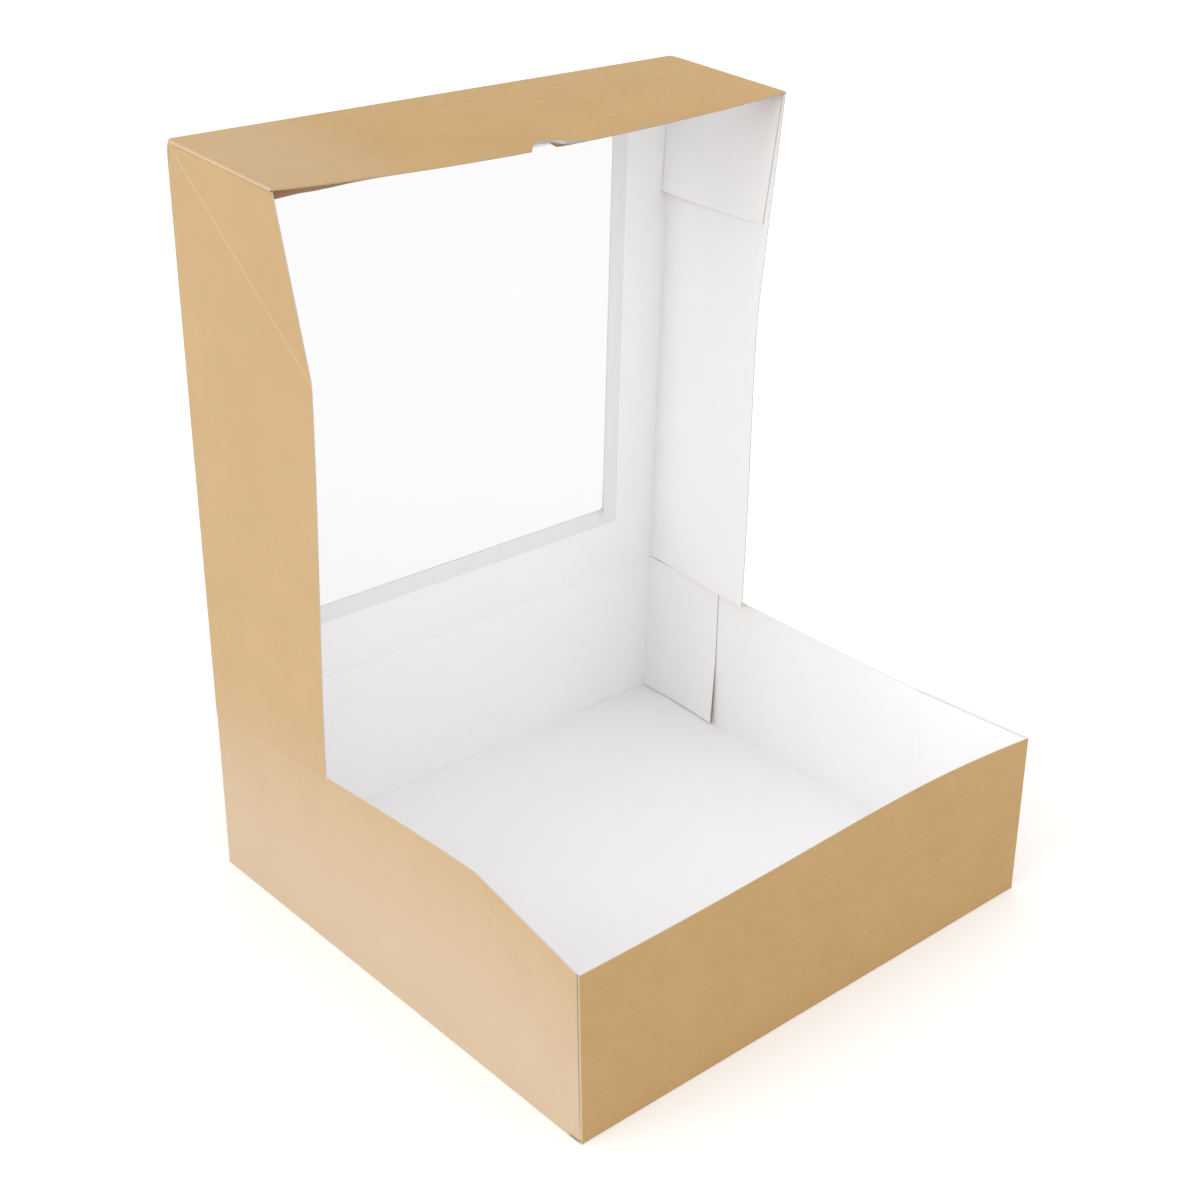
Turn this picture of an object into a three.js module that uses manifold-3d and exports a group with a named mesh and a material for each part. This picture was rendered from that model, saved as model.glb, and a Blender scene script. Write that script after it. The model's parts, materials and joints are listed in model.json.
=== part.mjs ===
// A pastry box folded from one sheet of white-lined kraft board, with its window lid standing open.
// The frame has +X to the right, -Y to the front and +Z up.
// Its origin is under the middle of the tray's bottom.

import * as THREE from "three";
import { mergeVertices } from "three/addons/utils/BufferGeometryUtils.js";
import Module from "manifold-3d";

const wasm = await Module();
wasm.setup();

// Driving sizes, in millimetres
const boardThickness = 0.45;
// The lid stays this far from the tray along the crease, and goes over the tray with this much room.
const lidClearance = 0.3;

// The tray
const trayWidth = 299;
const trayLength = 280;
const wallHeight = 88.5;
// The side walls' rims lean in by this much where the front corner creases reach them.
const sideWallLean = 13.5;
const sideLeanCurve = 1.6;
// The front wall leans in at its corners, and bows in further between them.
const frontWallLean = 4;
const frontWallBow = 5;
const frontBowSkew = 2.2;

// Glue tabs on the inside of the tray's side walls
const backTabLength = 60;
const frontTabLength = 68;
const tabFloorGap = 4;
const tabRimGap = 0.6;

// The lid, measured from the tray's rim along the standing lid
const lidLength = 286.4;
const flangeDepth = 84;
const flangeKneeDrop = 90;
const frontFlapDepth = 81;
const frontFlapDrop = 4.6;
const lipDepth = 18;
const lipSetback = 6;
const notchWidth = 20;
const notchDepth = 6;

// Glue tabs of the front flap, on the inside of the lid's side flanges
const lidTabLength = 70;
const lidTabPanelGap = 3;
const lidTabFrontGap = 3;

// The window
const windowSideMargin = 40;
const windowRimMargin = 40;
const windowTopMargin = 34;
const windowCornerRadius = 3;
const filmThickness = 0.15;
const filmOverlap = 10;

// Grids of the bent panels
const sideWallColumns = 10;
const frontWallColumns = 14;
const wallRows = 3;
const windowCornerSegments = 5;
// The last upright station of the side wall's sheet is this far behind the crease's top end.
const kneeStationGap = 10;

// Sizes that follow from the driving ones
const halfWidth = trayWidth / 2;
const halfLength = trayLength / 2;
// The lid widens from its foot to its top by one board on each side, so its glue tabs clear the tray.
const halfLidFoot = halfWidth + lidClearance + boardThickness;
const halfLidTop = halfLidFoot + boardThickness;
const hingeHeight = wallHeight + boardThickness + lidClearance;
// Heights above the crease line, in the lid's own group
const lidFoot = -boardThickness;
const lidTop = wallHeight + lidLength - hingeHeight;
// Layers that are glued face to face share a sliver this deep, so that they join into one solid.
const glueBite = 0.2;
// A cutter runs past the faces that it cuts by this much.
const cutPastEdge = 1;
// A crease that runs into a corner stops this far from it.
const creaseEnd = 1;

const kraftBoard = new THREE.MeshStandardMaterial({ color: "#dab88c", roughness: 0.85, metalness: 0 });
const clearFilm = new THREE.MeshStandardMaterial({
  color: "#f7f7f7",
  roughness: 0.08,
  metalness: 0,
  transparent: true,
  opacity: 0.2,
});

// A closed mesh as a solid, turned right side out where its making mirrored it
function solidFrom(geometry) {
  const bare = geometry.clone();
  bare.deleteAttribute("normal");
  bare.deleteAttribute("uv");
  const merged = mergeVertices(bare);
  const vertProperties = new Float32Array(merged.attributes.position.array);
  const triVerts = new Uint32Array(merged.index.array);
  if (signedVolume(vertProperties, triVerts) < 0) {
    flipTriangles(triVerts);
  }
  return new wasm.Manifold(new wasm.Mesh({ numProp: 3, vertProperties, triVerts }));
}

function signedVolume(positions, triangles) {
  const corner = (index) => new THREE.Vector3().fromArray(positions, 3 * index);
  let volume = 0;
  for (let first = 0; first < triangles.length; first += 3) {
    const a = corner(triangles[first]);
    const b = corner(triangles[first + 1]);
    const c = corner(triangles[first + 2]);
    volume += a.dot(b.cross(c)) / 6;
  }
  return volume;
}

function flipTriangles(triangles) {
  for (let first = 0; first < triangles.length; first += 3) {
    const second = triangles[first + 1];
    triangles[first + 1] = triangles[first + 2];
    triangles[first + 2] = second;
  }
}

// The solid's mesh as a geometry with flat-shaded faces
function geometryFrom(solid) {
  const mesh = solid.getMesh();
  const geometry = new THREE.BufferGeometry();
  geometry.setAttribute("position", new THREE.BufferAttribute(mesh.vertProperties, 3));
  geometry.setIndex(new THREE.BufferAttribute(mesh.triVerts, 1));
  geometry.computeVertexNormals();
  return geometry;
}

function joined(solids) {
  return solids.reduce((whole, next) => whole.add(next));
}

// A flat block between two corners
function block(low, high) {
  const size = new THREE.Vector3().subVectors(high, low);
  const middle = new THREE.Vector3().addVectors(low, high).multiplyScalar(0.5);
  const geometry = new THREE.BoxGeometry(size.x, size.y, size.z);
  geometry.translate(middle.x, middle.y, middle.z);
  return solidFrom(geometry);
}

// A bent panel of board: a grid of cells on both faces, with every point set by the place rule.
// The rule is given the column, the row, and the layer: 0 on the outside face and 1 on the inside.
function bentPanel(columns, rows, place) {
  const geometry = new THREE.BoxGeometry(columns, rows, 1, columns, rows, 1);
  const position = geometry.attributes.position;
  for (let index = 0; index < position.count; index += 1) {
    const column = Math.round(position.getX(index) + columns / 2);
    const row = Math.round(position.getY(index) + rows / 2);
    const layer = Math.round(position.getZ(index) + 0.5);
    const point = place(column, row, layer);
    position.setXYZ(index, point.x, point.y, point.z);
  }
  return solidFrom(geometry);
}

// The lid's outside face on the +X side, at a height
function lidSide(height) {
  const rise = (height - lidFoot) / (lidTop - lidFoot);
  return halfLidFoot + (halfLidTop - halfLidFoot) * rise;
}

// A solid with one side view, from points (distance forward of the crease, height).
// Its two ends stand across X, each at a place that depends on the height.
function sideViewSolid(outline, firstEnd, lastEnd) {
  const shape = new THREE.Shape(outline.map(([distance, height]) => new THREE.Vector2(distance, height)));
  const geometry = new THREE.ExtrudeGeometry(shape, { depth: 1, bevelEnabled: false });
  const position = geometry.attributes.position;
  for (let index = 0; index < position.count; index += 1) {
    const height = position.getY(index);
    const x = position.getZ(index) < 0.5 ? firstEnd(height) : lastEnd(height);
    position.setXYZ(index, x, -position.getX(index), height);
  }
  return solidFrom(geometry);
}

// A side-view solid across the whole lid, from inset to inset
function acrossLid(outline, inset) {
  const reach = (height) => lidSide(height) - inset;
  return sideViewSolid(outline, (height) => -reach(height), reach);
}

// How far from the back the side wall's front edge is at a height
function sideWallEnd(height) {
  return trayLength - (frontWallLean * height) / wallHeight;
}

// How far the side wall leans in. Behind the front corner's crease it is a gently curved sheet, and
// in front of the crease it is a flat triangle that comes back out to the corner.
function sideWallInset(distance, height) {
  const kneeDistance = trayLength - wallHeight;
  const toKnee = Math.max(0, 1 - distance / kneeDistance);
  const sheet = (sideWallLean * (1 - toKnee ** sideLeanCurve) * height) / wallHeight;
  const facetSlope = sideWallLean / (wallHeight - frontWallLean);
  const facet = facetSlope * Math.max(0, sideWallEnd(height) - distance);
  return Math.min(sheet, facet);
}

function sideWallPoint(side, distance, height, depth) {
  const x = side * (halfWidth - sideWallInset(distance, height) - depth);
  return new THREE.Vector3(x, halfLength - distance, height);
}

// The back wall's end is folded forward and glued inside the side wall.
function trayBackTab(side) {
  const columns = 4;
  const foot = tabFloorGap;
  const top = wallHeight - tabRimGap;
  return bentPanel(columns, wallRows, (column, row, layer) => {
    const height = foot + ((top - foot) * row) / wallRows;
    const start = boardThickness / 2;
    const distance = start + ((backTabLength - start) * column) / columns;
    const depth = boardThickness - glueBite + layer * (boardThickness + glueBite);
    return sideWallPoint(side, distance, height, depth);
  });
}

// The front wall's end is folded back and glued inside the side wall's corner triangle.
function trayFrontTab(side) {
  const foot = tabFloorGap;
  const top = wallHeight - tabRimGap;
  const creaseCrossing = frontTabLength;
  const heights = [foot, creaseCrossing, top];
  return bentPanel(2, 2, (column, row, layer) => {
    const height = heights[row];
    const free = trayLength - frontTabLength;
    const crease = Math.max(trayLength - height, free + creaseEnd);
    const end = sideWallEnd(height) - boardThickness / 2;
    const distance = [free, crease, end][column];
    const depth = boardThickness - glueBite + layer * (boardThickness + glueBite);
    return sideWallPoint(side, distance, height, depth);
  });
}

function frontWallInset(along, height) {
  const rise = height / wallHeight;
  const bow = Math.max(0, Math.sin(Math.PI * along ** frontBowSkew));
  return frontWallLean * rise + frontWallBow * bow * rise * rise;
}

// The side wall's stations from back to front: its curved sheet, its crease, and its corner
function sideWallRow(side, height, depth) {
  const sheetEnd = trayLength - wallHeight - kneeStationGap;
  const distances = [];
  for (let column = 0; column <= sideWallColumns; column += 1) {
    distances.push(depth + ((sheetEnd - depth) * column) / sideWallColumns);
  }
  distances.push(trayLength - Math.max(height, creaseEnd));
  distances.push(sideWallEnd(height) - depth);
  return distances.map((distance) => sideWallPoint(side, distance, height, depth));
}

// Once round the walls at a height, at a depth inside their outside faces
function wallRing(height, depth) {
  const left = sideWallRow(-1, height, depth);
  const right = sideWallRow(1, height, depth).reverse();
  const span = right[0].x - left[left.length - 1].x;
  const front = [];
  for (let column = 1; column < frontWallColumns; column += 1) {
    const along = column / frontWallColumns;
    const x = left[left.length - 1].x + span * along;
    const y = -halfLength + frontWallInset(along, height) + depth;
    front.push(new THREE.Vector3(x, y, height));
  }
  return [...left, ...front, ...right];
}

// A closed solid from level rings of equally many points, one above the other
function stackOfRings(rings) {
  const count = rings[0].length;
  const middle = (ring) => new THREE.Vector3(0, 0, ring[0].z);
  const points = [...rings.flat(), middle(rings[0]), middle(rings[rings.length - 1])];
  const bottomMiddle = points.length - 2;
  const topMiddle = points.length - 1;
  const lastRing = (rings.length - 1) * count;
  const triangles = [];
  for (let station = 0; station < count; station += 1) {
    const next = (station + 1) % count;
    for (let low = 0; low < lastRing; low += count) {
      const high = low + count;
      triangles.push(low + station, low + next, high + next);
      triangles.push(low + station, high + next, high + station);
    }
    triangles.push(bottomMiddle, next, station);
    triangles.push(topMiddle, lastRing + station, lastRing + next);
  }
  const geometry = new THREE.BufferGeometry().setFromPoints(points);
  geometry.setIndex(triangles);
  return solidFrom(geometry);
}

// The walls' space from a foot height up to a top height, at a depth inside their outside faces
function wallSpace(foot, top, depth) {
  const rings = [];
  for (let row = 0; row <= wallRows; row += 1) {
    rings.push(wallRing(foot + ((top - foot) * row) / wallRows, depth));
  }
  return stackOfRings(rings);
}

function makeTray() {
  const outside = wallSpace(0, wallHeight, 0);
  const inside = wallSpace(boardThickness, wallHeight + cutPastEdge, boardThickness);
  const tabs = [];
  for (const side of [-1, 1]) {
    tabs.push(trayBackTab(side), trayFrontTab(side));
  }
  return joined([outside.subtract(inside), ...tabs]);
}

// The window's outline, with rounded corners, as a cutter through the panel
function windowCutter() {
  const side = halfLidFoot - windowSideMargin;
  const low = lidFoot + windowRimMargin;
  const high = lidTop - windowTopMargin;
  const round = windowCornerRadius;
  const shape = new THREE.Shape();
  shape.moveTo(-side + round, low);
  shape.lineTo(side - round, low);
  shape.absarc(side - round, low + round, round, -Math.PI / 2, 0, false);
  shape.lineTo(side, high - round);
  shape.absarc(side - round, high - round, round, 0, Math.PI / 2, false);
  shape.lineTo(-side + round, high);
  shape.absarc(-side + round, high - round, round, Math.PI / 2, Math.PI, false);
  shape.lineTo(-side, low + round);
  shape.absarc(-side + round, low + round, round, Math.PI, 1.5 * Math.PI, false);
  const geometry = new THREE.ExtrudeGeometry(shape, {
    depth: boardThickness + 2 * cutPastEdge,
    bevelEnabled: false,
    curveSegments: windowCornerSegments,
  });
  geometry.rotateX(Math.PI / 2);
  geometry.translate(0, cutPastEdge, 0);
  return solidFrom(geometry);
}

// The height of the front flap's outside face, which slopes down towards its free edge
function flapHeight(distance) {
  return lidTop - (frontFlapDrop * distance) / frontFlapDepth;
}

// The lid's outside: panel, flanges and front flap. Its side view is a flange with its knee.
function lidOutside() {
  const outline = [
    [0, lidFoot],
    [flangeDepth, lidFoot],
    [flangeDepth, lidTop - flangeKneeDrop],
    [frontFlapDepth, flapHeight(frontFlapDepth)],
    [0, lidTop],
  ];
  return acrossLid(outline, 0);
}

// The room inside the lid, which is open at the front and at the foot
function lidInside() {
  const front = flangeDepth + cutPastEdge;
  const foot = lidFoot - cutPastEdge;
  const outline = [
    [boardThickness, foot],
    [front, foot],
    [front, flapHeight(front) - boardThickness],
    [boardThickness, flapHeight(boardThickness) - boardThickness],
  ];
  return acrossLid(outline, boardThickness);
}

// The flap's end is folded down and glued inside the flange's corner triangle.
function lidTab(side) {
  const front = frontFlapDepth - lidTabFrontGap;
  const foot = lidTop - lidTabLength;
  const inFlap = boardThickness / 2;
  const outline = [
    [lidTabPanelGap, foot],
    [front, foot],
    [front, flapHeight(front) - inFlap],
    [lidTabPanelGap, flapHeight(lidTabPanelGap) - inFlap],
  ];
  const outer = (height) => side * (lidSide(height) - boardThickness + glueBite);
  const inner = (height) => side * (lidSide(height) - 2 * boardThickness);
  return sideViewSolid(outline, outer, inner);
}

// The strip that is folded back under the front flap's free edge
function lidLip() {
  const start = frontFlapDepth - lipDepth;
  const end = frontFlapDepth - glueBite;
  const upper = boardThickness - glueBite;
  const lower = 2 * boardThickness;
  const outline = [
    [start, flapHeight(start) - lower],
    [end, flapHeight(end) - lower],
    [end, flapHeight(end) - upper],
    [start, flapHeight(start) - upper],
  ];
  return acrossLid(outline, lipSetback);
}

function lidNotch() {
  const reach = 2 * boardThickness + frontFlapDrop;
  return block(
    new THREE.Vector3(-notchWidth / 2, -frontFlapDepth - notchDepth, lidTop - 2 * reach),
    new THREE.Vector3(notchWidth / 2, -frontFlapDepth + notchDepth, lidTop + reach),
  );
}

function makeLid() {
  const shell = lidOutside().subtract(lidInside()).subtract(windowCutter());
  const layers = [shell, lidLip()];
  for (const side of [-1, 1]) {
    layers.push(lidTab(side));
  }
  return joined(layers).subtract(lidNotch());
}

// The clear film lies on the inside of the panel, glued round the window.
function makeFilm() {
  const side = halfLidFoot - windowSideMargin + filmOverlap;
  const low = lidFoot + windowRimMargin - filmOverlap;
  const high = lidTop - windowTopMargin + filmOverlap;
  return block(
    new THREE.Vector3(-side, -boardThickness - filmThickness, low),
    new THREE.Vector3(side, -boardThickness, high),
  );
}

function namedMesh(name, solid, material) {
  const mesh = new THREE.Mesh(geometryFrom(solid), material);
  mesh.name = name;
  return mesh;
}

const box = new THREE.Group();
box.add(namedMesh("tray", makeTray(), kraftBoard));

const lid = new THREE.Group();
lid.position.set(0, halfLength, hingeHeight);
lid.add(namedMesh("lid", makeLid(), kraftBoard));
lid.add(namedMesh("window_film", makeFilm(), clearFilm));
box.add(lid);

export default box;
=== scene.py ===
"""Looks of a kraft board pastry box with a clear window in its standing lid."""

import json
import math

import bmesh
import bpy
from mathutils import Matrix, Vector, noise


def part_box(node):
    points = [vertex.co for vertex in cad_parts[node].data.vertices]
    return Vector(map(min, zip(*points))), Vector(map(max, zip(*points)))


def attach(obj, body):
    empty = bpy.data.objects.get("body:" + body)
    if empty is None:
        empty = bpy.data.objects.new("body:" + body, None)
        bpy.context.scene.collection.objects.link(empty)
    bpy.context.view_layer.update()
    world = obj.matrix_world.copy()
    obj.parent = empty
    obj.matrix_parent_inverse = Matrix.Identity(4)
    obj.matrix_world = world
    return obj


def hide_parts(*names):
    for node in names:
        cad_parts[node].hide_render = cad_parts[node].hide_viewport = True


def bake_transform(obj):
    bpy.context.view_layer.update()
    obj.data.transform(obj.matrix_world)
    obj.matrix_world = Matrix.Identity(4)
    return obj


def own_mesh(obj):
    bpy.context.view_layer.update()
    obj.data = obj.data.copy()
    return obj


bl_info = {
    "name": "Pastry Box with Window",
    "version": (1, 0, 0),
    "blender": (4, 5, 0),
    "location": "View3D > Sidebar > Pastry Box",
    "description": "Builds a folded board pastry box, its window lid and a plain stage",
    "category": "Add Mesh",
}

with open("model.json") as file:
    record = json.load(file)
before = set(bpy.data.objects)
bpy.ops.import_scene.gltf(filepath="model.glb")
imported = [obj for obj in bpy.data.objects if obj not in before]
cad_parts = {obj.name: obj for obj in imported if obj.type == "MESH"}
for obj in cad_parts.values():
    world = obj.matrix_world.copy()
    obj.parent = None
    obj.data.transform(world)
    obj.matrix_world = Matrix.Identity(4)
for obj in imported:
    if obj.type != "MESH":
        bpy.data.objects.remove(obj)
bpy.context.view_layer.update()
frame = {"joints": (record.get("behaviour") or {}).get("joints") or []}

MM = 0.001

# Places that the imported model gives
TRAY_LOW, TRAY_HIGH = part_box("tray")
LID_LOW, LID_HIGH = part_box("lid")
FILM_LOW, FILM_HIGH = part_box("window_film")
HINGE = Vector(frame["joints"][0]["pos_m"])
HALF_WIDTH = TRAY_HIGH.x
BACK = TRAY_HIGH.y
TRAY_LENGTH = TRAY_HIGH.y - TRAY_LOW.y
WALL_HEIGHT = TRAY_HIGH.z
LID_FOOT = LID_LOW.z
LID_TOP = LID_HIGH.z
LID_HALF_TOP = LID_HIGH.x
FLANGE_DEPTH = BACK - LID_LOW.y

# Where folded edges are marked for rounding: how sharply the board turns there, in degrees,
# and how much of the rounding a fold and a score get
FOLD_ANGLE = 25
SCORE_ANGLE = 5
FOLD_WEIGHT = 1.0
SCORE_WEIGHT = 0.6
# The slot of the paler kraft at folds, partly stretched fibres and partly a painted highlight,
# among the board's materials
FOLD_SLOT = 3

# How far apart sheets are kept that lie on each other
SHEET_GAP = 0.05 * MM
# How far the board of the hinge reaches above and below its crease
HINGE_REACH = 1.2 * MM
# Columns of faces across the box, the same in the tray and in the hinge that meets it
COLUMNS_ACROSS = 28
# Columns of faces along a glue tab
TAB_COLUMNS = 12
# How quickly the side walls curve in, forward of the back
WALL_CURVE = 1.6
# Skews the front wall's bow, which is deepest at 0.73 of its length from the left
FRONT_SKEW = 2.2
# How far the tray's back tabs stand off the left and right walls at their free ends
BACK_TAB_LIFT = {-1: 0.8 * MM, 1: 2.4 * MM}
FRONT_TAB_LIFT = 1.2 * MM

# How far the lid's panel is turned forward before its flanges and its flap begin
FOLD_START = 0.6 * MM
# How far the rounding of the lid panel's folds reaches
PANEL_ROUND = 0.5 * MM
# About how far the lid's panel stands out past the tray's sides
PANEL_OVERHANG = 0.75 * MM
# How far the box's top corners are rounded back at the tip, and how far along their edges
CORNER_EASE = 1.6 * MM
CORNER_REACH = 5 * MM
# How far each end of the flap splays, for each length forward
FLAP_SPLAY = 0.00813
# The flat triangles at the lid's left and right corners: how far they stand out for each length
# forward, and how far they lean in for each length down
FACET_SLOPES = {-1: (FLAP_SPLAY, 0.1431), 1: (0.0145, 0.125)}
# How far the flanges lean in for each length forward: the right one's foot, and both at the knee
RIGHT_FOOT_SLOPE = 0.095
KNEE_SLOPE = 0.145
# How far above the tray's rim the flanges end
RIM_GAP = 0.04 * MM
# The share by which the lid's glue tabs keep to the corner triangle's plane
TAB_STIFFNESS = 0.3
LID_TAB_DEPTH = 70 * MM

# The thumb notch in the flap's free edge: places along it and depths, in millimetres
NOTCH = [(-12.8, 0), (-5.2, 7.6), (8.0, 5.6), (9.6, 2.2), (15.0, 0.6), (20.0, 0)]
# How much deeper the notch is cut into the lip than into the flap
LIP_NOTCH = 1.8
# How far the lip springs open: places along it from 0 to 1, and angles in degrees
LIP_ANGLES = [(0, 32), (0.1, 25), (0.2, 20), (0.28, 12), (0.53, 7), (0.56, 21), (0.62, 18)]
LIP_ANGLES += [(0.7, 8), (1, 5)]

# The film: its thickness, its distance from the lining, and its veil where it is free and glued
FILM_THICKNESS = 0.1 * MM
FILM_GAP = 0.03 * MM
FREE_VEIL = 0.14
GLUED_VEIL = 0.04
# Waves in each metre across and up the film
FILM_WAVES = (14, 5)


def linear(code):
    """Turn an sRGB hex colour into linear red, green and blue."""
    channels = [int(code[place : place + 2], 16) / 255 for place in (1, 3, 5)]
    return tuple(c / 12.92 if c <= 0.04045 else ((c + 0.055) / 1.055) ** 2.4 for c in channels)


def lerp(a, b, share):
    """The number that lies this share of the way from a to b."""
    return a + (b - a) * share


def smooth(share):
    """Ease a share from 0 to 1, level at both ends."""
    share = min(1.0, max(0.0, share))
    return share * share * (3 - 2 * share)


def steps(first, last, count):
    """Evenly spaced numbers from first to last, with count spaces between them."""
    return [lerp(first, last, index / count) for index in range(count + 1)]


# Sizes and colours


def length_setting(name, description, default, precision=4):
    """A length that a user may change."""
    return bpy.props.FloatProperty(
        name=name, description=description, default=default, unit="LENGTH", precision=precision
    )


def colour_setting(name, description, code):
    """A colour that a user may change, from its sRGB hex code."""
    return bpy.props.FloatVectorProperty(
        name=name, description=description, default=linear(code), subtype="COLOR", min=0, max=1
    )


class PastryBoxSizes(bpy.types.PropertyGroup):
    """Sizes of the box's board, folds and window"""

    board: length_setting(
        "Board thickness", "Thickness of the folding board", 0.45 * MM, precision=5
    )
    fold_round: length_setting(
        "Fold rounding",
        "How far a fold's rounding reaches on either side of it",
        0.9 * MM,
        precision=5,
    )
    flap_round: length_setting(
        "Flap fold rounding",
        "How far the rounding reaches where the front flap turns down at its ends",
        1.4 * MM,
        precision=5,
    )
    left_lean: length_setting(
        "Left wall lean",
        "How far the tray's left rim leans in where the corner crease reaches it",
        13.5 * MM,
    )
    right_lean: length_setting(
        "Right wall lean",
        "How far the tray's right rim leans in where the corner crease reaches it",
        5 * MM,
    )
    corner_flare: length_setting(
        "Front corner flare",
        "How far the rim stands out at the tray's front corners",
        0.4 * MM,
        precision=5,
    )
    front_lean: length_setting(
        "Front wall lean", "How far the front wall's rim leans back at the corners", 4 * MM
    )
    front_bow: length_setting(
        "Front wall bow",
        "How much further the front wall's rim bows in between the corners",
        5 * MM,
    )
    back_tab: length_setting(
        "Back tab length", "Length of the glue tabs at the tray's back corners", 60.5 * MM
    )
    front_tab: length_setting(
        "Front tab length", "Length of the glue tabs at the tray's front corners", 68 * MM
    )
    knee_drop: length_setting(
        "Knee drop", "How far below the lid's top its flanges reach their full depth", 90 * MM
    )
    flap_depth: length_setting("Front flap depth", "Depth of the lid's front flap", 81 * MM)
    flap_drop: length_setting(
        "Front flap drop",
        "How far the flap's free edge lies below its crease at the corners",
        4.6 * MM,
    )
    flap_sag: length_setting(
        "Front flap sag", "How much further the flap's free edge sags between its corners", 5 * MM
    )
    lip_depth: length_setting(
        "Lip depth", "Depth of the strip that is folded back under the flap", 18 * MM
    )
    window_margin: length_setting(
        "Window side margin", "Width of the panel beside the window", 40 * MM
    )
    window_low: length_setting(
        "Window foot margin", "Height of the panel below the window", 40 * MM
    )
    window_high: length_setting(
        "Window top margin", "Height of the panel above the window", 34 * MM
    )
    window_round: length_setting("Window corner radius", "Radius of the window's corners", 3 * MM)
    # A pale painted sheen on the kraft: how strongly it is mixed in at most, from 0 to 1
    painted_sheen: bpy.props.FloatProperty(
        name="Coating haze",
        description="How hazy the coating is where it is thickest, from 0 to 1",
        default=0.46,
        min=0,
        max=1,
    )
    film_wave: length_setting(
        "Film waviness",
        "How far the clear film waves in and out across the window",
        0.5 * MM,
        precision=5,
    )


class PastryBoxColours(bpy.types.PropertyGroup):
    """Colours of the board, the film and the stage"""

    kraft: colour_setting("Kraft", "The board's brown outside", "#c5a272")
    # Paler kraft at folds and scores: partly stretched fibres, partly a painted highlight
    kraft_fold_stretch_and_highlight: colour_setting(
        "Kraft folds",
        "The board's brown outside where a fold or a score has stretched it",
        "#d2b389",
    )
    # A darker brown painted on the flap's lip as shade
    kraft_lip_painted_shade: colour_setting(
        "Kraft lip", "The board's brown outside where it is turned under the flap", "#8a5a1c"
    )
    kraft_dark: colour_setting(
        "Kraft fibres", "Darker fibres in the board's brown outside", "#b4915f"
    )
    # A pale colour mixed into the kraft as painted sheen
    painted_sheen: colour_setting("Coating haze", "The pale haze in the board's coating", "#d6cbbd")
    lining: colour_setting("Lining", "The board's white inside", "#fbfafa")
    cut_edge: colour_setting("Cut edge", "The board's cut edges", "#ece4d6")
    film: colour_setting("Film", "Tint of the clear film", "#a8a8aa")
    floor: colour_setting("Floor", "The pale floor", "#f6f6f6")
    floor_lift: bpy.props.FloatProperty(
        name="Floor lift",
        description="How much whiter the floor shows than the light on it makes it",
        default=0.15,
        min=0,
        max=1,
    )


# Materials


def node(tree, kind, values=(), links=(), **settings):
    """Add a node, set its properties and socket values, and link its inputs."""
    made = tree.nodes.new(kind)
    for name, value in settings.items():
        setattr(made, name, value)
    for socket, value in dict(values).items():
        made.inputs[socket].default_value = value
    for socket, source in dict(links).items():
        tree.links.new(source, made.inputs[socket])
    return made


def new_material(name):
    """An empty node material and its tree."""
    material = bpy.data.materials.new(name)
    material.use_nodes = True
    material.node_tree.nodes.clear()
    return material, material.node_tree


def opaque(colour):
    """A colour with full alpha."""
    return (*colour, 1.0)


def per_length(length):
    """The scale that makes a pattern repeat once in this length."""
    return 1 / length


def painted_sheen_share(tree):
    """Share of painted sheen in the kraft's colour, from where a face lies and which way it faces.

    Faces to the left have most of it, low down, and the flap has a little at its left end.
    """
    sizes = bpy.context.scene.pastry_box_sizes
    surface = node(tree, "ShaderNodeTexCoord")
    place = node(
        tree, "ShaderNodeSeparateXYZ", links={"Vector": surface.outputs["Object"]}
    )
    # Faces to the left have all of it up to 20 mm above the floor, and 0.3 of it from 130 mm up.
    low = node(
        tree,
        "ShaderNodeMapRange",
        {
            "From Min": 130 * MM,
            "From Max": 20 * MM,
            "To Min": -0.3 * sizes.painted_sheen,
            "To Max": -sizes.painted_sheen,
        },
        {"Value": place.outputs["Z"]},
        interpolation_type="SMOOTHSTEP",
    )
    # Faces that look up have none of it at 60 mm left of the middle, and 0.3 of it at 120 mm.
    end = node(
        tree,
        "ShaderNodeMapRange",
        {"From Min": -60 * MM, "From Max": -120 * MM, "To Max": 0.3 * sizes.painted_sheen},
        {"Value": place.outputs["X"]},
        interpolation_type="SMOOTHSTEP",
    )
    shares = node(
        tree,
        "ShaderNodeCombineXYZ",
        links={"X": low.outputs["Result"], "Z": end.outputs["Result"]},
    )
    return node(
        tree,
        "ShaderNodeVectorMath",
        links={0: surface.outputs["Normal"], 1: shares.outputs["Vector"]},
        operation="DOT_PRODUCT",
    ).outputs["Value"]


def kraft_outside():
    """Kraft folding board, calendered and thinly coated: a smooth, faintly fibrous warm brown."""
    colours = bpy.context.scene.pastry_box_colours
    return kraft_board("kraft_board_calendered", colours.kraft, colours.kraft_dark)


def kraft_fold_stretch_and_highlight():
    """Kraft board scored and folded: paler along the fold, partly from its stretched fibres and
    partly as a painted highlight.
    """
    colours = bpy.context.scene.pastry_box_colours
    return kraft_board("kraft_board_scored_stretch_and_highlight", colours.kraft_fold_stretch_and_highlight, colours.kraft)


def kraft_lip_painted_shade():
    """Kraft board turned under at the flap's edge, painted a darker brown as shade."""
    colours = bpy.context.scene.pastry_box_colours
    return kraft_board("kraft_board_under_flap_painted_shade", colours.kraft_lip_painted_shade, colours.kraft_lip_painted_shade)


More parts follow.
